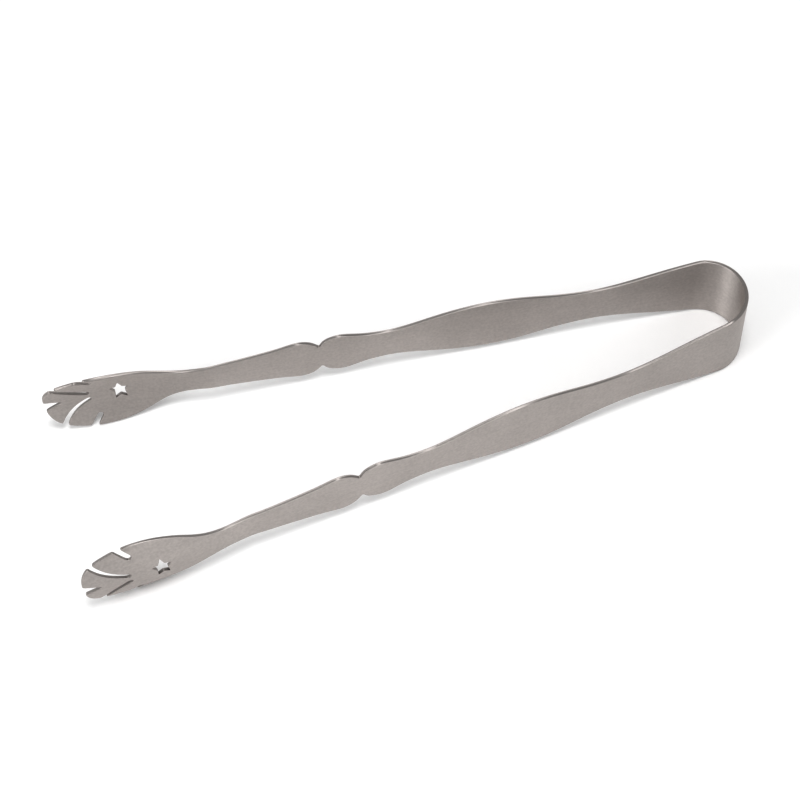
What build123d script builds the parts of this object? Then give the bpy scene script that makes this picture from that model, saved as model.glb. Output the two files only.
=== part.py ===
"""Ice tongs: one spring-steel strip bent into a bow, with two waisted arms and clawed heads."""
import os
from math import asin, cos, degrees, pi, radians, sin

from build123d import *

# Strip
THICKNESS = 0.9
LENGTH = 178.2
MAX_HALF_WIDTH = 10.9            # bow edge and claw edges, which the tongs rest on
CENTRE_Z = MAX_HALF_WIDTH

# Bow
BEND_RADIUS = 10.0               # to the middle of the strip
CROWN_SPREAD = 35.0              # degrees each side of the crown's middle that stay stiff
BOW_X = LENGTH / 2 - BEND_RADIUS - THICKNESS / 2

# Arm in plan, seen from above
ARM_SPLAY = 6.3                  # degrees from the centre line where the arm leaves the bow
ARM_BOW_RADIUS = 4480.0          # very gentle outward curve of the arm
ARM_RUN = 124.7                  # from the bow to the outward turn before the head
NECK_RADIUS = 25.0               # of that turn
NECK_TURN = 8.9                  # degrees
HEAD_RADIUS = 156.0              # inward curve of the head along its length
HEAD_RUN = 42.0                  # to just past the tips
DISH_RADIUS = 23.0               # curve of the head across its width
FLAT_RADIUS = 4000.0             # stands for a flat cross-section
NECK_START = 122.0               # the flat strip begins to dish here, measured along the arm
NECK_END = 134.0                 # fully dished from here on
NECK_STEPS = 4                   # stretches between the neck's sections
SECTION_PLACES = (-1, -0.5, 0, 0.5, 1)  # of a section's curve that its spline passes through

# Half-widths of the strip: distance from the crown, half-width
CROWN_EDGE_RUN = 7.0             # full width as far as this
GRIP_OUTLINE = [
    (13.0, 10.0), (18.5, 8.95), (24.0, 7.75), (29.5, 6.7), (35.0, 6.15), (40.0, 6.3), (46.5, 7.15),
    (54.0, 8.65), (61.0, 9.4), (68.5, 9.1), (76.0, 7.85), (83.5, 6.1), (88.5, 5.45), (92.6, 5.6),
    (96.0, 6.15), (99.2, 7.1), (101.6, 7.5), (104.0, 7.0), (105.8, 5.85),
]
NOTCH = (106.8, 4.2)
SHANK_OUTLINE = [
    (107.8, 5.45), (109.0, 6.55), (110.8, 7.35), (112.6, 7.5), (114.6, 7.15), (117.0, 6.6),
    (121.0, 6.0), (127.0, 5.3), (133.0, 4.8), (138.0, 4.5),
]
GRIP_END = 86.0                  # in the waist between the grip and the shank
SHANK_OUTLINE_END = 140.0        # inside the neck

# Head outline: distance from the crown, half-width
HEAD_OUTLINE = [
    (142.5, 4.6), (146.0, 5.4), (149.0, 6.65), (152.0, 8.2), (155.0, 9.4), (158.5, 10.35),
    (163.0, 10.87), (167.5, 10.7), (171.0, 9.95), (174.0, 8.85), (176.5, 6.9), (177.9, 3.8),
]
HEAD_TIP = (178.2, 0.0)

# Slots between the tines, centre lines from the inner end to past the head's edge
SHORT_SLOT = [(165.3, 7.9), (167.2, 10.2), (169.0, 12.4)]
SHORT_SLOT_WIDTH = 1.5
LONG_SLOT = [(166.8, 1.4), (170.3, 3.5), (173.2, 6.2), (175.0, 8.8), (176.0, 11.0)]
LONG_SLOT_WIDTH = 1.4
TIP_SLOT_ROOT = 173.8
TIP_SLOT_HALF_ROOT = 0.25
TIP_SLOT_HALF_MOUTH = 2.4
SLOT_PLACES = (0, 0.34, 0.67, 1)  # along a slot's centre line that its sides pass through

# Corners outside the head that close the regions of the tines, between the slots
OUTER_TINE_CORNERS = [(170.0, 16.0), (182.0, 14.0)]
INNER_TINE_CORNERS = [(184.0, 14.0), (184.0, 0.0)]

# Pierced star
STAR_X = 158.6
STAR_POINTS = 5
STAR_OUTER = (2.6, 4.0)          # along the arm, across it
STAR_INNER_SHARE = 0.52

CUT_DEPTH = 60.0                 # each way, past both arms
CUT_HALF_WIDTH = 20.0            # past the strip's edges
OVERRUN = 1.0                    # extra length of a shape that is cut back
MIDDLE = Plane.XY.offset(CENTRE_Z)


def row_x(from_crown):
    """Row X of a distance measured from the crown towards the tips."""
    return LENGTH / 2 - from_crown


def distance_from_crown(x):
    """The distance from the crown of a row X."""
    return LENGTH / 2 - x


def heading_vector(heading):
    return Vector(cos(radians(heading)), sin(radians(heading)), 0)


def left_of(heading):
    return heading_vector(heading + 90)


# Path of the rear arm: start at the bow, then arcs of (radius, turn in degrees, left positive)
TANGENT_ANGLE = 90 - ARM_SPLAY
START = Vector(BOW_X, 0, 0) + heading_vector(TANGENT_ANGLE) * BEND_RADIUS
START_HEADING = TANGENT_ANGLE + 90
ARM_ARCS = [
    (ARM_BOW_RADIUS, degrees(ARM_RUN / ARM_BOW_RADIUS)),
    (NECK_RADIUS, -NECK_TURN),
    (HEAD_RADIUS, degrees(HEAD_RUN / HEAD_RADIUS)),
]


def path_at(run):
    """Point and heading of the strip's middle after a run along the arm."""
    point = START
    heading = START_HEADING
    left = run
    for radius, turn in ARM_ARCS:
        length = radius * radians(abs(turn))
        side = 1 if turn > 0 else -1
        swing = degrees(min(left, length) / radius) * side
        centre = point + left_of(heading) * radius * side
        point = centre - left_of(heading + swing) * radius * side
        heading += swing
        left -= length
        if left <= 0:
            break
    return point, heading


def half_width_at(outline, from_crown):
    """Half-width between the outline's points, by straight interpolation."""
    for (x0, w0), (x1, w1) in zip(outline, outline[1:]):
        if x0 <= from_crown <= x1:
            return w0 + (w1 - w0) * (from_crown - x0) / (x1 - x0)
    raise ValueError(from_crown)


def cross_section(run, half_width, dish_radius):
    """Curved rectangle across the strip at a run along the arm."""
    point, heading = path_at(run)
    plane = Plane(origin=(point.X, point.Y, CENTRE_Z), x_dir=-left_of(heading), z_dir=heading_vector(heading))
    spread = asin(half_width / dish_radius)
    outer = dish_radius + THICKNESS / 2
    inner = dish_radius - THICKNESS / 2

    def curve(radius):
        angles = [spread * place for place in SECTION_PLACES]
        return Spline(*[(radius * cos(angle) - dish_radius, radius * sin(angle)) for angle in angles])

    with BuildSketch(plane) as sketch:
        with BuildLine():
            outside = curve(outer)
            inside = curve(inner)
            Line(outside @ 0, inside @ 0)
            Line(outside @ 1, inside @ 1)
        make_face()
    return sketch.sketch


def arm_band():
    """Flat strip of the arm in plan, up to the neck, as tall as the widest place."""
    start, heading = path_at(0)
    turn = path_at(NECK_START)[1] - heading
    rails = []
    for shift in (THICKNESS / 2, -THICKNESS / 2):
        corner = start + left_of(heading) * shift
        rails.append(JernArc(corner, heading_vector(heading), ARM_BOW_RADIUS - shift, turn))
    caps = [Line(rails[0] @ 0, rails[1] @ 0), Line(rails[0] @ 1, rails[1] @ 1)]
    return extrude(make_face(Curve() + rails + caps), 2 * MAX_HALF_WIDTH)


def bow_sector(start_angle, end_angle):
    """Part of the round bend between two angles from the crown's middle."""
    middle = (start_angle + end_angle) / 2
    outer = BEND_RADIUS + THICKNESS / 2
    inner = BEND_RADIUS - THICKNESS / 2
    centre = Vector(BOW_X, 0, 0)

    def arc(radius):
        ends = [centre + heading_vector(angle) * radius for angle in (start_angle, middle, end_angle)]
        return ThreePointArc(*ends)

    rails = [arc(outer), arc(inner)]
    caps = [Line(rails[0] @ 0, rails[1] @ 0), Line(rails[0] @ 1, rails[1] @ 1)]
    return extrude(make_face(Curve() + rails + caps), 2 * MAX_HALF_WIDTH)


def upright(points):
    """Points of the side view as row coordinates."""
    return [Vector(row_x(x), 0, CENTRE_Z + z) for x, z in points]


def mirrored(points):
    return [(x, -z) for x, z in points]


def through_y(face):
    """Side-view face pushed through the whole width of the tongs."""
    return extrude(face, CUT_DEPTH, dir=(0, 1, 0), both=True)


def strip_outline():
    """Side view of bow, grip and shank with its notched ornament."""
    edges = []
    for flip in (list, mirrored):
        crown = flip([(-OVERRUN, MAX_HALF_WIDTH), (CROWN_EDGE_RUN, MAX_HALF_WIDTH)])
        grip = flip([(CROWN_EDGE_RUN, MAX_HALF_WIDTH)] + GRIP_OUTLINE + [NOTCH])
        shank = flip([NOTCH] + SHANK_OUTLINE + [(SHANK_OUTLINE_END, SHANK_OUTLINE[-1][1])])
        edges.append(Line(*upright(crown)))
        edges.append(Spline(*upright(grip)))
        edges.append(Spline(*upright(shank)))
    for x, w in ((-OVERRUN, MAX_HALF_WIDTH), (SHANK_OUTLINE_END, SHANK_OUTLINE[-1][1])):
        edges.append(Line(*upright([(x, w), (x, -w)])))
    return through_y(make_face(Curve() + edges))


def slot_face(centre_line, width):
    """Slot of even width along a curved centre line, with a round inner end."""
    path = Spline(*upright(centre_line))
    rails = []
    for side in (1, -1):
        rail = []
        for place in SLOT_PLACES:
            direction = path % place
            normal = Vector(-direction.Z, 0, direction.X)
            rail.append(path @ place + normal * (side * width / 2))
        rails.append(Spline(*rail))
    inward = (path % 0) * (-width / 2)
    inner_end = ThreePointArc(rails[0] @ 0, path @ 0 + inward, rails[1] @ 0)
    mouth = Line(rails[0] @ 1, rails[1] @ 1)
    return make_face(Curve() + [rails[0], inner_end, rails[1], mouth])


def tip_slot_face():
    corners = [
        (TIP_SLOT_ROOT, TIP_SLOT_HALF_ROOT),
        (LENGTH + OVERRUN, TIP_SLOT_HALF_MOUTH),
        (LENGTH + OVERRUN, -TIP_SLOT_HALF_MOUTH),
        (TIP_SLOT_ROOT, -TIP_SLOT_HALF_ROOT),
    ]
    return make_face(Polyline(*upright(corners), close=True))


def star_face():
    corners = []
    for index in range(2 * STAR_POINTS):
        angle = pi / 2 + index * pi / STAR_POINTS
        share = 1.0 if index % 2 == 0 else STAR_INNER_SHARE
        corners.append((STAR_X + STAR_OUTER[0] * share * cos(angle), STAR_OUTER[1] * share * sin(angle)))
    return make_face(Polyline(*upright(corners), close=True))


def head_shell():
    """Dished head with its slots and pierced star."""
    point, heading = path_at(NECK_END)
    centre = point + left_of(heading) * HEAD_RADIUS
    whole = sum(radius * radians(abs(turn)) for radius, turn in ARM_ARCS)
    swing = degrees((whole - NECK_END) / HEAD_RADIUS) + OVERRUN
    section = cross_section(NECK_END, MAX_HALF_WIDTH + OVERRUN, DISH_RADIUS)
    axis = Axis((centre.X, centre.Y, 0), (0, 0, 1))
    bowl = revolve(section, axis, swing)

    start = distance_from_crown(point.X) - OVERRUN
    edges = []
    for flip in (list, mirrored):
        side = [(start, HEAD_OUTLINE[0][1])] + HEAD_OUTLINE + [HEAD_TIP]
        edges.append(Spline(*upright(flip(side))))
    edges.append(Line(*upright([(start, HEAD_OUTLINE[0][1]), (start, -HEAD_OUTLINE[0][1])])))
    outline = make_face(Curve() + edges)
    for slot, width in ((SHORT_SLOT, SHORT_SLOT_WIDTH), (LONG_SLOT, LONG_SLOT_WIDTH)):
        cutter = slot_face(slot, width)
        outline -= cutter
        outline -= mirror(cutter, about=MIDDLE)
    outline -= tip_slot_face()
    outline -= star_face()
    return bowl & through_y(outline)


def side_prism(corners):
    """Straight-sided region of the side view, through the whole width."""
    return through_y(make_face(Polyline(*upright(corners), close=True)))


def neck_shell():
    """Short loft from the flat strip to the dished head."""
    sections = []
    for index in range(NECK_STEPS + 1):
        share = index / NECK_STEPS
        run = NECK_START + (NECK_END - NECK_START) * share
        point, _ = path_at(run)
        outline = SHANK_OUTLINE + HEAD_OUTLINE
        half_width = half_width_at(outline, distance_from_crown(point.X))
        dishing = share * share * (3 - 2 * share)
        radius = 1 / (dishing / DISH_RADIUS + (1 - dishing) / FLAT_RADIUS)
        sections.append(cross_section(run, half_width, radius))
    return loft(sections)


def x_range(start, end):
    """Slab between two distances from the crown."""
    reach = CUT_HALF_WIDTH
    return side_prism([(start, reach), (end, reach), (end, -reach), (start, -reach)])


outline_cut = strip_outline()
arm = arm_band() & outline_cut
grip = arm & x_range(0.0, GRIP_END)
shank = arm & x_range(GRIP_END, LENGTH)
head = head_shell()

tine_regions = {
    "outer": SHORT_SLOT + OUTER_TINE_CORNERS + LONG_SLOT[::-1],
    "inner": LONG_SLOT + INNER_TINE_CORNERS + [(TIP_SLOT_ROOT, 0.0)],
}

pieces = {
    "bow_crown": bow_sector(-CROWN_SPREAD, CROWN_SPREAD) & outline_cut,
    "rear_bow_side": bow_sector(CROWN_SPREAD, TANGENT_ANGLE) & outline_cut,
    "rear_grip": grip,
    "rear_shank": shank,
    "rear_neck": neck_shell(),
}
palm = head
for place, corners in tine_regions.items():
    region = side_prism(corners)
    tine = head & region
    pieces[f"rear_{place}_tine_upper"] = tine
    pieces[f"rear_{place}_tine_lower"] = mirror(tine, about=MIDDLE)
    palm -= region
    palm -= mirror(region, about=MIDDLE)
pieces["rear_palm"] = palm

os.makedirs("parts", exist_ok=True)
for name, shape in pieces.items():
    export_step(shape, f"parts/{name}.step")
    if name.startswith("rear_"):
        export_step(mirror(shape, about=Plane.XZ), f"parts/{name.replace('rear_', 'front_')}.step")
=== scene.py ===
"""Ice tongs: brushed stainless strip with waisted arms and dished, slotted claws."""
from math import cos, pi, radians, sin

import bpy
import numpy as np
from mathutils import Matrix, Vector
from mathutils.geometry import delaunay_2d_cdt


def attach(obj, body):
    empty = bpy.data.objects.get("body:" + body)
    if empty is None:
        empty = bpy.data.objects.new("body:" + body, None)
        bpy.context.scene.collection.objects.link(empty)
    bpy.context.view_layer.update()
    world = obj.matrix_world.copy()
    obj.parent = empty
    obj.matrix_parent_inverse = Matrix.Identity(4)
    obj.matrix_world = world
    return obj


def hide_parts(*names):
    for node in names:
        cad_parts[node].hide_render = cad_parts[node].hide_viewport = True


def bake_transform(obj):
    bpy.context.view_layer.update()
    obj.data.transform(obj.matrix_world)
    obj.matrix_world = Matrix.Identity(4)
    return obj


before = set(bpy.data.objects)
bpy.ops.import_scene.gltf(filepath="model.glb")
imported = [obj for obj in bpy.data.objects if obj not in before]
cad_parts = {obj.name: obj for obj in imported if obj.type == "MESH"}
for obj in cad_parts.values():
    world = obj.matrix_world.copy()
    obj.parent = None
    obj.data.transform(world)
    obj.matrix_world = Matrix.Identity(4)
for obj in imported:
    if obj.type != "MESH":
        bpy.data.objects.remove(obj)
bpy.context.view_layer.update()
MM = 0.001

# Strip, in millimetres, as in the CAD part
THICKNESS = 0.9
LENGTH = 178.2
MAX_HALF_WIDTH = 10.9
CENTRE_Z = MAX_HALF_WIDTH
BEND_RADIUS = 10.0
BOW_X = LENGTH / 2 - BEND_RADIUS - THICKNESS / 2
ARM_SPLAY = 6.3
ARM_BOW_RADIUS = 4480.0
ARM_RUN = 124.7
NECK_RADIUS = 25.0
NECK_TURN = 8.9
HEAD_RADIUS = 156.0
HEAD_RUN = 42.0
DISH_RADIUS = 23.0
NECK_START = 122.0
NECK_END = 134.0

CROWN_EDGE_RUN = 7.0
GRIP_OUTLINE = [
    (13.0, 10.0), (18.5, 8.95), (24.0, 7.75), (29.5, 6.7), (35.0, 6.15), (40.0, 6.3), (46.5, 7.15),
    (54.0, 8.65), (61.0, 9.4), (68.5, 9.1), (76.0, 7.85), (83.5, 6.1), (88.5, 5.45), (92.6, 5.6),
    (96.0, 6.15), (99.2, 7.1), (101.6, 7.5), (104.0, 7.0), (105.8, 5.85),
]
NOTCH = (106.8, 4.2)
SHANK_OUTLINE = [
    (107.8, 5.45), (109.0, 6.55), (110.8, 7.35), (112.6, 7.5), (114.6, 7.15), (117.0, 6.6),
    (121.0, 6.0), (127.0, 5.3), (133.0, 4.8), (138.0, 4.5),
]
HEAD_OUTLINE = [
    (142.5, 4.6), (146.0, 5.4), (149.0, 6.65), (152.0, 8.2), (155.0, 9.4), (158.5, 10.35),
    (163.0, 10.87), (167.5, 10.7), (171.0, 9.95), (174.0, 8.85), (176.5, 6.9), (177.9, 3.8),
]
HEAD_TIP = (178.2, 0.0)
SHORT_SLOT = [(165.3, 7.9), (167.2, 10.2), (169.0, 12.4)]
LONG_SLOT = [(166.8, 1.4), (170.3, 3.5), (173.2, 6.2), (175.0, 8.8), (176.0, 11.0)]
SHORT_SLOT_WIDTH = 1.5
LONG_SLOT_WIDTH = 1.4
TIP_SLOT_ROOT = 173.8
TIP_SLOT_HALF_ROOT = 0.25
TIP_SLOT_HALF_MOUTH = 2.4
OVERRUN = 1.0                   # the tip slot's mouth lies this far past the tips
STAR_X = 158.6
STAR_POINTS = 5
STAR_OUTER = (2.6, 4.0)
STAR_INNER_SHARE = 0.52

# Places where one named piece ends and the next begins
CROWN_SPREAD = 35.0
GRIP_END = 86.0

# Distance from the crown and height of a place inside each upper tine
OUTER_TINE_PLACE = (170.5, 7.8)
INNER_TINE_PLACE = (175.0, 4.0)

# Mesh, in millimetres unless a name says steps or passes
EDGE_RADIUS = 0.2
STAR_EDGE_RADIUS = 0.1
EDGE_STEPS = 3
PATH_STEP = 0.05
SLOPE_GAP = 0.05                # between the places that a slope of the surface is taken from
RUN_PASSES = 8
FINE_STEP = 0.3
STAR_STEP = 0.16
COARSE_STEP = 0.7
SEAM_STEP = 0.8
BOW_STEPS = 43
SLOT_END_STEPS = 8
EASE_PASSES = 2
SAME_POINT = 1e-6
MERGE_DISTANCE = 1e-7
GRID_CLEARANCE = 0.3
GRID_REACH = 12.0               # past the widest place
BELOW_STRIP = -30.0             # closes the upper contour's outline, past the lower edge

# Steel: colours are linear, pattern scales are in features per metre
STEEL_DARK = (0.46, 0.432, 0.416, 1)
STEEL_LIGHT = (0.63, 0.592, 0.570, 1)
# Painted shade: colour of the rounded edges, darker than the faces
STEEL_EDGE_SHADE = (0.45, 0.423, 0.408, 1)
FINE_GRAIN = (60.0, 3600.0, 1.0)        # along the strip, across it
FINE_DETAIL = 3.0
BROAD_GRAIN = (25.0, 900.0, 1.0)
BROAD_DETAIL = 2.0
MOTTLE = (90.0, 90.0, 90.0)
MOTTLE_DETAIL = 2.0
SPECKLE = (1400.0, 1400.0, 1400.0)
SPECKLE_DETAIL = 1.0
NOISE_MIDDLE = (0.3, 0.7)       # most of a noise pattern's values lie between these
STREAK_TONE = 0.25              # share of the way from dark to light steel
BAND_TONE = 0.2
MOTTLE_TONE = 0.2
SPECKLE_TONE = 0.35
ROUGHNESS = (0.44, 0.52)
STREAK_ROUGHNESS = 0.03
BUMP_STRENGTH = 0.2
GRAIN_DEPTH = 0.00002
GRAIN_ANISOTROPY = 0.9
QUARTER_TURN = 0.25

# Path of the rear arm's middle line, as arcs of (length, curvature with left positive)
TANGENT_ANGLE = 90 - ARM_SPLAY
BOW_RUN = BEND_RADIUS * radians(TANGENT_ANGLE)
ARCS = [
    (BOW_RUN, 1 / BEND_RADIUS),
    (ARM_RUN, 1 / ARM_BOW_RADIUS),
    (NECK_RADIUS * radians(NECK_TURN), -1 / NECK_RADIUS),
    (HEAD_RUN, 1 / HEAD_RADIUS),
]

# Grid inside the faces: (from run, to run, step along, step across)
HEAD_GRID_START = 138.0
HEAD_GRID_END = 200.0           # past the tips
GRID_ZONES = [
    (0.0, BOW_RUN, 0.35, 1.6),
    (BOW_RUN, HEAD_GRID_START, 1.3, 1.3),
    (HEAD_GRID_START, HEAD_GRID_END, 0.75, 0.75),
]

# Run of a place inside each piece, on the strip's centre line
PIECE_RUNS = {
    "bow_crown": 2.0,
    "bow_side": BOW_RUN - 3.0,
    "grip": 60.0,
    "shank": BOW_RUN + 105.0,
    "neck": BOW_RUN + NECK_START + 6.0,
    "palm": BOW_RUN + NECK_END + 6.0,
}

# Studio, in metres
FLOOR_SIZE = 6
FLOOR_DROP = 0.0002             # below the strip's lower edges
FLOOR_COLOUR = (0.93, 0.93, 0.93, 1)
FLOOR_ROUGHNESS = 0.9
FLOOR_SPECULAR = 0.1
WORLD_COLOUR = (1, 1, 1, 1)
WORLD_STRENGTH = 0.63
KEY_PLACE = (0.06, -0.14, 1.0)
KEY_SIZE = 0.35
KEY_POWER = 4.6
FILL_PLACE = (-0.8, -0.25, 0.55)
FILL_SIZE = 0.5
FILL_POWER = 3.0
VIEW_GAMMA = 0.7

# Camera: angles in degrees, its place in metres
CAMERA_AZIMUTH = -9.86
CAMERA_ELEVATION = 60.0
CAMERA_ROLL = 7.01
CAMERA_LOCATION = (-0.04083, -0.22310, 0.40418)
FOCAL_SHARE = 2.25              # focal length over the sensor's width
SENSOR = 36.0
CLIP_START = 0.01
CLIP_END = 10


def path_table():
    """Run, x, y and heading along the middle line, from the crown's middle to past the tips."""
    heading = pi / 2
    point = np.array([BOW_X + BEND_RADIUS, 0.0])
    rows = [(0.0, *point, heading)]
    run = 0.0
    for length, curvature in ARCS:
        count = int(np.ceil(length / PATH_STEP))
        piece = length / count
        for _ in range(count):
            middle = heading + curvature * piece / 2
            point = point + piece * np.array([cos(middle), sin(middle)])
            heading += curvature * piece
            run += piece
            rows.append((run, *point, heading))
    return np.array(rows)


PATH = path_table()


def smoothstep(value):
    share = np.clip(value, 0, 1)
    return share * share * (3 - 2 * share)


def raw_point(run, z):
    """Point of the strip's middle surface at a run along it and a height from its centre line."""
    run = np.asarray(run, float)
    z = np.asarray(z, float)
    x = np.interp(run, PATH[:, 0], PATH[:, 1])
    y = np.interp(run, PATH[:, 0], PATH[:, 2])
    heading = np.interp(run, PATH[:, 0], PATH[:, 3])
    dish = smoothstep((run - BOW_RUN - NECK_START) / (NECK_END - NECK_START)) / DISH_RADIUS
    sag = dish * z * z / (1 + np.sqrt(1 - (dish * z) ** 2))
    left = np.stack([-np.sin(heading), np.cos(heading)], -1)
    plan = np.stack([x, y], -1) + left * sag[..., None]
    return np.concatenate([plan, (CENTRE_Z + z)[..., None]], -1)


def middle_surface(run, z):
    """Point and outward normal of the middle surface."""
    run, z = np.broadcast_arrays(np.asarray(run, float), np.asarray(z, float))
    along = raw_point(run + SLOPE_GAP, z) - raw_point(run - SLOPE_GAP, z)
    across = raw_point(run, z + SLOPE_GAP) - raw_point(run, z - SLOPE_GAP)
    normal = np.cross(along, across)
    normal /= np.linalg.norm(normal, axis=-1, keepdims=True)
    return raw_point(run, z), normal


def run_at(from_crown, z):
    """Run along the strip of a point given by its distance from the crown."""
    from_crown = np.asarray(from_crown, float)
    run = from_crown + BOW_RUN - BEND_RADIUS
    for _ in range(RUN_PASSES):
        run = run + from_crown - (LENGTH / 2 - raw_point(run, z)[..., 0])
    return run


def smooth_curve(points, step):
    """Natural cubic curve through points, sampled at about the step."""
    points = np.array(points, float)
    spans = np.linalg.norm(np.diff(points, axis=0), axis=1)
    knots = np.concatenate([[0], np.cumsum(spans)])
    count = len(points)
    matrix = np.eye(count)
    target = np.zeros_like(points)
    for i in range(1, count - 1):
        matrix[i, i - 1] = spans[i - 1]
        matrix[i, i] = 2 * (spans[i - 1] + spans[i])
        matrix[i, i + 1] = spans[i]
        slopes = (points[i + 1] - points[i]) / spans[i] - (points[i] - points[i - 1]) / spans[i - 1]
        target[i] = 6 * slopes
    bends = np.linalg.solve(matrix, target)
    places = np.linspace(0, knots[-1], max(2, int(knots[-1] / step) + 1))
    index = np.clip(np.searchsorted(knots, places, side="right") - 1, 0, count - 2)
    span = spans[index][:, None]
    share = ((places - knots[index]) / spans[index])[:, None]
    rest = 1 - share
    pull = (rest ** 3 - rest) * bends[index] + (share ** 3 - share) * bends[index + 1]
    cubic = pull * span ** 2 / 6
    return rest * points[index] + share * points[index + 1] + cubic


def inside(points, polygon):
    """Which points lie inside a closed polygon."""
    points = np.asarray(points, float)
    result = np.zeros(len(points), bool)
    for (x0, y0), (x1, y1) in zip(polygon, np.roll(polygon, -1, axis=0)):
        crosses = (y0 > points[:, 1]) != (y1 > points[:, 1])
        with np.errstate(divide="ignore", invalid="ignore"):
            reach = x0 + (points[:, 1] - y0) * (x1 - x0) / (y1 - y0)
        result ^= crosses & (points[:, 0] < reach)
    return result


def slot_polygon(centre_line, width):
    """Slot from its mouth down one side, round its inner end and back up the other."""
    line = smooth_curve(centre_line, FINE_STEP)
    direction = np.gradient(line, axis=0)
    direction /= np.linalg.norm(direction, axis=1, keepdims=True)
    normal = np.stack([-direction[:, 1], direction[:, 0]], -1)
    start = np.arctan2(normal[0, 1], normal[0, 0])
    angles = np.linspace(start, start + pi, SLOT_END_STEPS + 1)[1:-1]
    end = line[0] + np.stack([np.cos(angles), np.sin(angles)], -1) * width / 2
    return np.concatenate([(line + normal * width / 2)[::-1], end, line - normal * width / 2])


def cut_slot(contour, slot):
    """Contour with a slot's sides put in place of the stretch that the slot's mouth takes away."""
    hit = np.flatnonzero(inside(contour, slot))
    first, last = hit[0], hit[-1]
    head = contour[:first]
    tail = contour[last + 1:]
    outline = np.concatenate([contour, [[contour[-1][0], BELOW_STRIP], [contour[0][0], BELOW_STRIP]]])
    sides = slot[inside(slot, outline)]
    if np.linalg.norm(sides[0] - head[-1]) > np.linalg.norm(sides[-1] - head[-1]):
        sides = sides[::-1]
    return np.concatenate([head, sides, tail])


def upper_contour():
    """Upper edge of the rear arm from the crown's middle to the tip slot's root, as (run, z)."""
    bow_angles = np.linspace(0, radians(TANGENT_ANGLE), BOW_STEPS + 1)
    crown_x = BEND_RADIUS + THICKNESS / 2 - BEND_RADIUS * np.cos(bow_angles)
    grip = smooth_curve([(CROWN_EDGE_RUN, MAX_HALF_WIDTH)] + GRIP_OUTLINE + [NOTCH], COARSE_STEP)
    # The shank's curve and the head's share points on both sides of the neck, so that they join smoothly
    shank = smooth_curve([NOTCH] + SHANK_OUTLINE + HEAD_OUTLINE[:3], COARSE_STEP)
    bow_runs = np.linspace(0, BOW_RUN, BOW_STEPS + 1)
    grip_widths = np.interp(crown_x, grip[:, 0], grip[:, 1])
    bow_widths = np.where(crown_x < CROWN_EDGE_RUN, MAX_HALF_WIDTH, grip_widths)
    bow = np.stack([bow_runs, bow_widths], -1)

    head = smooth_curve(SHANK_OUTLINE[-2:] + HEAD_OUTLINE + [HEAD_TIP], FINE_STEP)
    head = cut_slot(head, slot_polygon(SHORT_SLOT, SHORT_SLOT_WIDTH))
    head = cut_slot(head, slot_polygon(LONG_SLOT, LONG_SLOT_WIDTH))
    slope = (TIP_SLOT_HALF_MOUTH - TIP_SLOT_HALF_ROOT) / (LENGTH + OVERRUN - TIP_SLOT_ROOT)
    metal = head[:, 1] > TIP_SLOT_HALF_ROOT + slope * (head[:, 0] - TIP_SLOT_ROOT)
    tip_x = np.arange(head[metal][-1, 0], TIP_SLOT_ROOT, -FINE_STEP)
    tip = np.stack([tip_x, TIP_SLOT_HALF_ROOT + slope * (tip_x - TIP_SLOT_ROOT)], -1)
    root = [(TIP_SLOT_ROOT, TIP_SLOT_HALF_ROOT), (TIP_SLOT_ROOT, 0.0)]
    head = np.concatenate([head[metal], tip, root])

    arm = np.concatenate([grip[grip[:, 0] > crown_x[-1]], shank[1:]])
    arm = np.concatenate([arm[arm[:, 0] < head[0, 0]], head])
    arm = np.stack([run_at(arm[:, 0], arm[:, 1]), arm[:, 1]], -1)
    return np.concatenate([bow, arm[arm[:, 0] > BOW_RUN]])


def even_points(points, step):
    """Points at even steps along a line."""
    spans = np.linalg.norm(np.diff(points, axis=0), axis=1)
    points = points[np.concatenate([[True], spans > SAME_POINT])]
    spans = np.linalg.norm(np.diff(points, axis=0), axis=1)
    reach = np.concatenate([[0], np.cumsum(spans)])
    count = int(reach[-1] / step)
    places = np.linspace(0, reach[-1], count + 1)
    return np.stack([np.interp(places, reach, points[:, i]) for i in (0, 1)], -1)


def eased_line(points, step, closed=False):
    """Points along a line with its corners eased, which draws them closer together there."""
    if closed:
        points = np.concatenate([points, points[:1]])
    even = even_points(points, step)
    if closed:
        even = even[:-1]
    for _ in range(EASE_PASSES):
        before = np.roll(even, 1, axis=0)
        after = np.roll(even, -1, axis=0)
        eased = even * 0.5 + (before + after) * 0.25
        if not closed:
            eased[0], eased[-1] = even[0], even[-1]
        even = eased
    return even


def edge_normals(line, closed):
    """Unit normals on the left of a line's direction, which is outside the metal."""
    if closed:
        tangent = np.roll(line, -1, axis=0) - np.roll(line, 1, axis=0)
    else:
        tangent = np.gradient(line, axis=0)
        tangent[0] = (1.0, 0.0)
        tangent[-1] = (-1.0, 0.0)
    tangent /= np.linalg.norm(tangent, axis=1, keepdims=True)
    return np.stack([-tangent[:, 1], tangent[:, 0]], -1)


def edge_profile(radius):
    """(inset, height, outward share, upward share) across a rounded edge, from outer to inner face."""
    rows = []
    for step in range(EDGE_STEPS + 1):
        angle = step / EDGE_STEPS * pi / 2
        inset = radius * (1 - sin(angle))
        height = THICKNESS / 2 - radius * (1 - cos(angle))
        rows.append((inset, height, sin(angle), cos(angle)))
    return rows + [(inset, -height, out, -up) for inset, height, out, up in rows[::-1]]


def star_line():
    corners = []
    for index in range(2 * STAR_POINTS):
        angle = pi / 2 + index * pi / STAR_POINTS
        share = 1.0 if index % 2 == 0 else STAR_INNER_SHARE
        corners.append((STAR_X + STAR_OUTER[0] * share * cos(angle), STAR_OUTER[1] * share * sin(angle)))
    corners = np.array(corners)
    return np.stack([run_at(corners[:, 0], corners[:, 1]), corners[:, 1]], -1)


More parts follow.
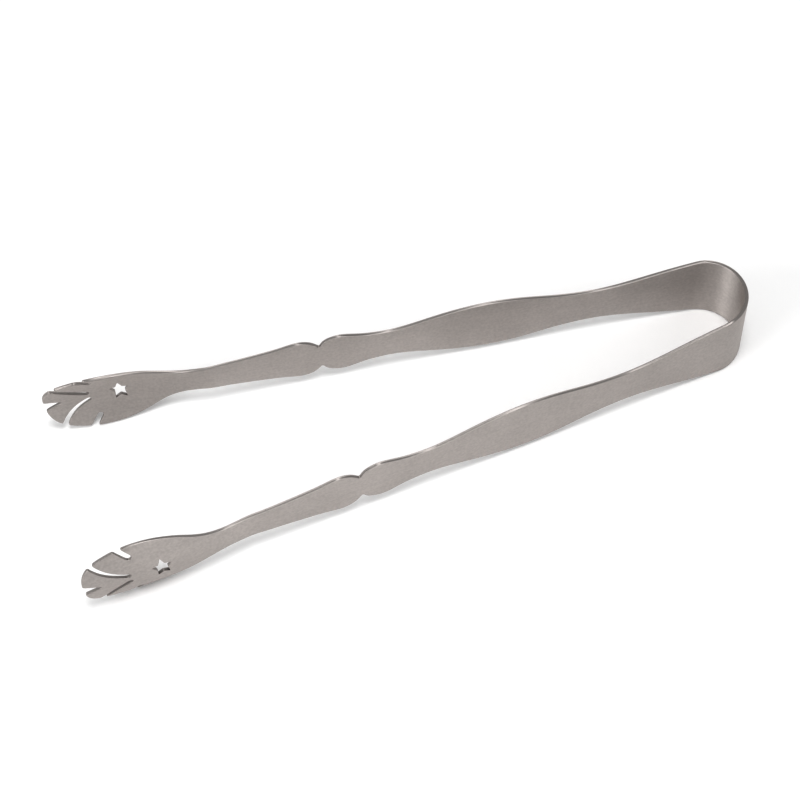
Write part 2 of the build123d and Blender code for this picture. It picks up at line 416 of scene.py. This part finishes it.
def grid_points(boundary, hole, kept_clear):
    """Grid points inside the face, kept off its edges."""
    rows = []
    for start, end, along, across in GRID_ZONES:
        for index, run in enumerate(np.arange(start + along, end, along)):
            shift = (index % 2) * across / 2
            for z in np.arange(-GRID_REACH + shift, GRID_REACH, across):
                rows.append((run, z))
    points = np.array(rows)
    points = points[inside(points, boundary) & ~inside(points, hole)]
    clear = [np.min(np.sum((kept_clear - p) ** 2, axis=1)) > GRID_CLEARANCE ** 2 for p in points]
    return points[np.array(clear)]


def cut_lines(rim):
    """Rim indexes at both ends of each line that parts two named pieces."""
    count = len(rim)
    half = count // 2

    def nearest(from_crown, z):
        target = (run_at(from_crown, z), z)
        return int(np.argmin(np.sum((rim[:half + 1] - target) ** 2, axis=1)))

    def nearest_run(run):
        return int(np.argmin(np.abs(rim[:half + 1, 0] - run)))

    cuts = []
    for run in (BEND_RADIUS * radians(CROWN_SPREAD), BOW_RUN, run_at(GRIP_END, 0),
                BOW_RUN + NECK_START, BOW_RUN + NECK_END):
        index = nearest_run(run)
        cuts.append((index, count - 1 - index))
    short = np.array(SHORT_SLOT[0])
    long = np.array(LONG_SLOT[0])
    tip = np.array((TIP_SLOT_ROOT, 0.0))
    across = (long - short) / np.linalg.norm(long - short) / 2
    inward = (tip - long) / np.linalg.norm(tip - long) / 2
    outer = nearest(*(short + across * SHORT_SLOT_WIDTH)), nearest(*(long - across * LONG_SLOT_WIDTH))
    inner = nearest(*(long + inward * LONG_SLOT_WIDTH)), half
    for a, b in (outer, inner):
        cuts.append((a, b))
        cuts.append((count - 1 - a, count - 1 - b))
    return cuts


def piece_seeds():
    """A place inside each named piece, as (run, z)."""
    places = {name: (run, 0.0) for name, run in PIECE_RUNS.items()}
    for half, sign in (("upper", 1), ("lower", -1)):
        for tine, (from_crown, height) in (("outer", OUTER_TINE_PLACE), ("inner", INNER_TINE_PLACE)):
            places[f"{tine}_tine_{half}"] = (float(run_at(from_crown, height)), sign * height)
    return places


class Half:
    """Skin of the rear arm from the crown's middle to the claw tips, as points with strip coordinates."""

    def __init__(self):
        self.flat = []
        self.heights = []
        self.shares = []
        self.edge_shade_share = []
        self.faces = {}

    def add(self, point, height, shares, edge_shade_share=0.0):
        self.flat.append((float(point[0]), float(point[1])))
        self.heights.append(height)
        self.shares.append(shares)
        self.edge_shade_share.append(edge_shade_share)
        return len(self.flat) - 1

    def add_edge(self, line, closed, radius):
        """Rounded edge along a line, as rings of point indexes from the outer face to the inner one."""
        normals = edge_normals(line, closed)
        rings = []
        for inset, height, out, up in edge_profile(radius):
            ring = []
            for point, normal in zip(line, normals):
                shares = (normal[0] * out, normal[1] * out, up)
                # The outward share also weights the painted shade on the rounded edge
                ring.append(self.add(point - normal * inset, height, shares, edge_shade_share=out))
            rings.append(ring)
        return rings

    def finish(self):
        """Vertex positions, shading normals, strip coordinates and how far each faces out across the
        rounded edge, which sets how much painted shade it gets.
        """
        flat = np.array(self.flat)
        shares = np.array(self.shares)
        centre, normal = middle_surface(flat[:, 0], flat[:, 1])
        along = raw_point(flat[:, 0] + SLOPE_GAP, flat[:, 1]) - centre
        across = raw_point(flat[:, 0], flat[:, 1] + SLOPE_GAP) - centre
        along /= np.linalg.norm(along, axis=1, keepdims=True)
        across /= np.linalg.norm(across, axis=1, keepdims=True)
        shading = along * shares[:, :1] + across * shares[:, 1:2] + normal * shares[:, 2:]
        shading /= np.linalg.norm(shading, axis=1, keepdims=True)
        return centre + normal * np.array(self.heights)[:, None], shading, flat, np.array(self.edge_shade_share)


def build_half():
    """Rear arm's skin, with its faces sorted into the named pieces."""
    half = Half()
    # Spaced evenly again after easing, so that the rounded edge doesn't fold over itself in a tight corner
    upper = even_points(eased_line(upper_contour(), FINE_STEP), FINE_STEP)
    rim = np.concatenate([upper, (upper * (1, -1))[::-1][1:]])
    rim_rings = half.add_edge(rim, False, EDGE_RADIUS)
    star_rings = half.add_edge(eased_line(star_line(), STAR_STEP, closed=True), True, STAR_EDGE_RADIUS)
    cuts = cut_lines(rim)

    def spread(first, last):
        """Points strictly between two others, about a seam step apart."""
        a = np.array(half.flat[first])
        b = np.array(half.flat[last])
        count = max(2, int(np.linalg.norm(b - a) / SEAM_STEP))
        return [a + (b - a) * step / count for step in range(1, count)]

    bottom_of = dict(zip(rim_rings[0] + star_rings[0], rim_rings[-1] + star_rings[-1]))

    def add_pair(point):
        top = half.add(point, THICKNESS / 2, (0.0, 0.0, 1.0))
        bottom_of[top] = half.add(point, -THICKNESS / 2, (0.0, 0.0, -1.0))
        return top

    seam = [add_pair(p) for p in spread(rim_rings[0][-1], rim_rings[0][0])]
    boundary = rim_rings[0] + seam
    chains = []
    for first, last in cuts:
        ends = rim_rings[0][first], rim_rings[0][last]
        chains.append([ends[0]] + [add_pair(p) for p in spread(*ends)] + [ends[1]])
    fixed = sorted(set(boundary + star_rings[0] + [i for chain in chains for i in chain]))
    flat = np.array(half.flat)
    grid = grid_points(flat[boundary], flat[star_rings[0]], flat[fixed])
    tops = fixed + [add_pair(p) for p in grid]
    order = {top: index for index, top in enumerate(tops)}

    edges = [(order[a], order[b]) for a, b in zip(boundary, boundary[1:] + boundary[:1])]
    edges += [(order[a], order[b]) for a, b in zip(star_rings[0], star_rings[0][1:] + star_rings[0][:1])]
    for chain in chains:
        edges += [(order[a], order[b]) for a, b in zip(chain, chain[1:])]
    flat = np.array(half.flat)
    corners = [Vector(flat[top]) for top in tops]
    points, _, triangles, sources, _, _ = delaunay_2d_cdt(corners, edges, [], 0, MERGE_DISTANCE)
    names = [tops[source[0]] if source else add_pair(point) for source, point in zip(sources, points)]
    flat = np.array(half.flat)
    triangles = [tuple(names[i] for i in triangle) for triangle in triangles]
    centres = np.array([flat[list(t)].mean(axis=0) for t in triangles])
    solid = inside(centres, flat[boundary]) & ~inside(centres, flat[star_rings[0]])
    triangles = [t for t, good in zip(triangles, solid) if good]
    centres = centres[solid]

    walls = {frozenset(pair) for chain in chains for pair in zip(chain, chain[1:])}
    owner = {}
    for index, triangle in enumerate(triangles):
        for pair in zip(triangle, triangle[1:] + triangle[:1]):
            owner[pair] = index
    for name, seed in piece_seeds().items():
        start = int(np.argmin(np.sum((centres - seed) ** 2, axis=1)))
        found = {start}
        queue = [start]
        while queue:
            triangle = triangles[queue.pop()]
            for a, b in zip(triangle, triangle[1:] + triangle[:1]):
                other = owner.get((b, a))
                if other is not None and other not in found and frozenset((a, b)) not in walls:
                    found.add(other)
                    queue.append(other)
        own = [triangles[i] for i in found]
        half.faces[name] = piece_faces(half, own, rim_rings, star_rings, bottom_of, walls)
    return half


def piece_faces(half, triangles, rim_rings, star_rings, bottom_of, walls):
    """Closed skin of one piece: both faces, its rounded edges, and walls where it meets the next."""
    faces = []
    skin_edges = set()
    for triangle in triangles:
        faces.append(triangle)
        faces.append(tuple(bottom_of[i] for i in triangle)[::-1])
        skin_edges.update(zip(triangle, triangle[1:] + triangle[:1]))
    for rings, closed in ((rim_rings, False), (star_rings, True)):
        count = len(rings[0])
        for column in range(count if closed else count - 1):
            after = (column + 1) % count
            pair = (rings[0][column], rings[0][after])
            if pair not in skin_edges and pair[::-1] not in skin_edges:
                continue
            for ring, lower in zip(rings, rings[1:]):
                faces.append((ring[column], ring[after], lower[after], lower[column]))

    column_of = {top: index for index, top in enumerate(rim_rings[0])}
    caps = {}
    for a, b in sorted(skin_edges):
        if frozenset((a, b)) not in walls:
            continue
        way = np.array(half.flat[b]) - np.array(half.flat[a])
        way /= np.linalg.norm(way)
        shares = (way[1], -way[0], 0.0)

        def copy(index):
            return half.add(half.flat[index], half.heights[index], shares)

        faces.append((copy(a), copy(bottom_of[a]), copy(bottom_of[b]), copy(b)))
        for end, direction in ((a, 1), (b, -1)):
            if end not in column_of:
                continue
            if end in caps:
                del caps[end]
                continue
            caps[end] = tuple(copy(ring[column_of[end]]) for ring in rim_rings)[::direction]
    return faces + list(caps.values())


def add_piece(name, half_mesh, faces, sides, material):
    """Mesh object from one piece's faces, on the rear side, the front side or both."""
    vertices, shading, flat, edge_shade_share = half_mesh
    points = []
    normals = []
    strip = []
    painted_edge_shade = []
    polygons = []
    middle = {}
    for side in sides:
        turn = 1 if side == "rear" else -1
        order = {}
        for index in sorted({i for face in faces for i in face}):
            if turn < 0 and index in middle:
                order[index] = middle[index]
                continue
            order[index] = len(points)
            points.append(vertices[index] * (1, turn, 1) * MM)
            normals.append(shading[index] * (1, turn, 1))
            strip.append(flat[index] * (turn, 1) * MM)
            painted_edge_shade.append(edge_shade_share[index])
            if flat[index][0] == 0:
                middle[index] = order[index]
        polygons += [[order[i] for i in face][::turn] for face in faces]
    mesh = bpy.data.meshes.new(name)
    mesh.from_pydata([tuple(p) for p in points], [], polygons)
    layer = mesh.uv_layers.new(name="strip")
    for loop in mesh.loops:
        layer.data[loop.index].uv = strip[loop.vertex_index]
    # Painted shade mask: darkest where a point faces straight out across a rounded edge
    mesh.attributes.new("painted_edge_shade", "FLOAT", "POINT").data.foreach_set("value", painted_edge_shade)
    mesh.polygons.foreach_set("use_smooth", [True] * len(mesh.polygons))
    mesh.normals_split_custom_set_from_vertices([tuple(n) for n in normals])
    mesh.materials.append(material)
    obj = bpy.data.objects.new(name, mesh)
    bpy.context.scene.collection.objects.link(obj)
    return obj


def brushed_steel():
    """Satin stainless steel with a rolled grain along the strip, faint mottling and painted shade that
    darkens the rounded edges.
    """
    material = bpy.data.materials.new("brushed_stainless")
    material.use_nodes = True
    nodes = material.node_tree.nodes
    links = material.node_tree.links
    shader = nodes["Principled BSDF"]
    shader.inputs["Metallic"].default_value = 1.0
    shader.inputs["Anisotropic"].default_value = GRAIN_ANISOTROPY
    shader.inputs["Anisotropic Rotation"].default_value = QUARTER_TURN
    grain = nodes.new("ShaderNodeTangent")
    grain.direction_type = "UV_MAP"
    grain.uv_map = "strip"
    links.new(grain.outputs["Tangent"], shader.inputs["Tangent"])
    strip = nodes.new("ShaderNodeUVMap")
    strip.uv_map = "strip"
    place = nodes.new("ShaderNodeTexCoord")
    edge = nodes.new("ShaderNodeAttribute")
    edge.attribute_name = "painted_edge_shade"

    def noise(vector, scale, detail):
        """Noise whose features are 1 / scale metres long on each axis."""
        stretch = nodes.new("ShaderNodeMapping")
        stretch.inputs["Scale"].default_value = scale
        pattern = nodes.new("ShaderNodeTexNoise")
        pattern.inputs["Scale"].default_value = 1.0
        pattern.inputs["Detail"].default_value = detail
        links.new(vector, stretch.inputs["Vector"])
        links.new(stretch.outputs["Vector"], pattern.inputs["Vector"])
        return pattern.outputs["Fac"]

    def spread(value, low, high):
        """A pattern's middle values spread evenly from low to high."""
        remap = nodes.new("ShaderNodeMapRange")
        remap.inputs["From Min"].default_value = NOISE_MIDDLE[0]
        remap.inputs["From Max"].default_value = NOISE_MIDDLE[1]
        remap.inputs["To Min"].default_value = low
        remap.inputs["To Max"].default_value = high
        links.new(value, remap.inputs["Value"])
        return remap.outputs["Result"]

    def add(first, second):
        node = nodes.new("ShaderNodeMath")
        node.operation = "ADD"
        links.new(first, node.inputs[0])
        links.new(second, node.inputs[1])
        return node.outputs[0]

    streaks = noise(strip.outputs["UV"], FINE_GRAIN, FINE_DETAIL)
    bands = noise(strip.outputs["UV"], BROAD_GRAIN, BROAD_DETAIL)
    mottle = noise(place.outputs["Object"], MOTTLE, MOTTLE_DETAIL)
    speckle = noise(place.outputs["Object"], SPECKLE, SPECKLE_DETAIL)
    tone = add(spread(streaks, 0.0, STREAK_TONE), spread(bands, 0.0, BAND_TONE))
    tone = add(tone, spread(mottle, 0.0, MOTTLE_TONE))
    tone = add(tone, spread(speckle, 0.0, SPECKLE_TONE))

    colour = nodes.new("ShaderNodeMix")
    colour.data_type = "RGBA"
    colour.inputs["A"].default_value = STEEL_DARK
    colour.inputs["B"].default_value = STEEL_LIGHT
    links.new(tone, colour.inputs["Factor"])
    # Painted shade: the rounded edges are mixed toward darker steel
    edge_shade_mix = nodes.new("ShaderNodeMix")
    edge_shade_mix.data_type = "RGBA"
    edge_shade_mix.inputs["B"].default_value = STEEL_EDGE_SHADE
    links.new(edge.outputs["Fac"], edge_shade_mix.inputs["Factor"])
    links.new(colour.outputs["Result"], edge_shade_mix.inputs["A"])
    links.new(edge_shade_mix.outputs["Result"], shader.inputs["Base Color"])

    rough = add(spread(bands, *ROUGHNESS), spread(streaks, -STREAK_ROUGHNESS, STREAK_ROUGHNESS))
    links.new(rough, shader.inputs["Roughness"])

    bump = nodes.new("ShaderNodeBump")
    bump.inputs["Strength"].default_value = BUMP_STRENGTH
    bump.inputs["Distance"].default_value = GRAIN_DEPTH
    links.new(streaks, bump.inputs["Height"])
    links.new(bump.outputs["Normal"], shader.inputs["Normal"])
    return material


def floor_material():
    material = bpy.data.materials.new("paper")
    material.use_nodes = True
    shader = material.node_tree.nodes["Principled BSDF"]
    shader.inputs["Base Color"].default_value = FLOOR_COLOUR
    shader.inputs["Roughness"].default_value = FLOOR_ROUGHNESS
    shader.inputs["Specular IOR Level"].default_value = FLOOR_SPECULAR
    return material


def add_area(name, location, size, power):
    """Round soft light that faces the middle of the floor."""
    light = bpy.data.lights.new(name, "AREA")
    light.shape = "DISK"
    light.size = size
    light.energy = power
    obj = bpy.data.objects.new(name, light)
    obj.location = location
    obj.rotation_euler = (-Vector(location)).to_track_quat("-Z", "Y").to_euler()
    bpy.context.scene.collection.objects.link(obj)


def build_tongs():
    """All the visible pieces, each in place of the CAD node of its name; all but the bow's sides ride on
    that node's body.
    """
    material = brushed_steel()
    half = build_half()
    half_mesh = half.finish()
    crown = add_piece("crown", half_mesh, half.faces.pop("bow_crown"), ("rear", "front"), material)
    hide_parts("bow_crown")
    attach(crown, "bow")
    for side, turn in (("rear", 1), ("front", -1)):
        for name, faces in half.faces.items():
            piece = add_piece(f"{side}_{name}_skin", half_mesh, faces, (side,), material)
            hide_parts(f"{side}_{name}")
            if name == "bow_side":
                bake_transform(piece)
            else:
                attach(piece, f"{side}_arm")


def add_camera():
    camera = bpy.data.cameras.new("camera")
    camera.sensor_width = SENSOR
    camera.lens = SENSOR * FOCAL_SHARE
    camera.clip_start = CLIP_START
    camera.clip_end = CLIP_END
    azimuth = radians(CAMERA_AZIMUTH)
    pitch = radians(CAMERA_ELEVATION)
    forward = Vector((-sin(azimuth) * cos(pitch), cos(azimuth) * cos(pitch), -sin(pitch)))
    right = Vector((cos(azimuth), sin(azimuth), 0))
    up = right.cross(forward)
    roll = radians(CAMERA_ROLL)
    rolled_right = right * cos(roll) - up * sin(roll)
    rolled_up = right * sin(roll) + up * cos(roll)
    obj = bpy.data.objects.new("camera", camera)
    obj.matrix_world = Matrix((
        (rolled_right.x, rolled_up.x, -forward.x, CAMERA_LOCATION[0]),
        (rolled_right.y, rolled_up.y, -forward.y, CAMERA_LOCATION[1]),
        (rolled_right.z, rolled_up.z, -forward.z, CAMERA_LOCATION[2]),
        (0, 0, 0, 1),
    ))
    bpy.context.scene.collection.objects.link(obj)
    bpy.context.scene.camera = obj


def add_studio():
    bpy.ops.mesh.primitive_plane_add(size=FLOOR_SIZE, location=(0, 0, -FLOOR_DROP))
    floor = bpy.context.object
    floor.name = "floor"
    floor.data.materials.append(floor_material())
    world = bpy.data.worlds.new("studio")
    world.use_nodes = True
    background = world.node_tree.nodes["Background"]
    background.inputs["Color"].default_value = WORLD_COLOUR
    background.inputs["Strength"].default_value = WORLD_STRENGTH
    bpy.context.scene.world = world
    add_area("key", KEY_PLACE, KEY_SIZE, KEY_POWER)
    add_area("fill", FILL_PLACE, FILL_SIZE, FILL_POWER)
    bpy.context.scene.view_settings.view_transform = "Standard"
    bpy.context.scene.view_settings.gamma = VIEW_GAMMA


build_tongs()
add_camera()
add_studio()
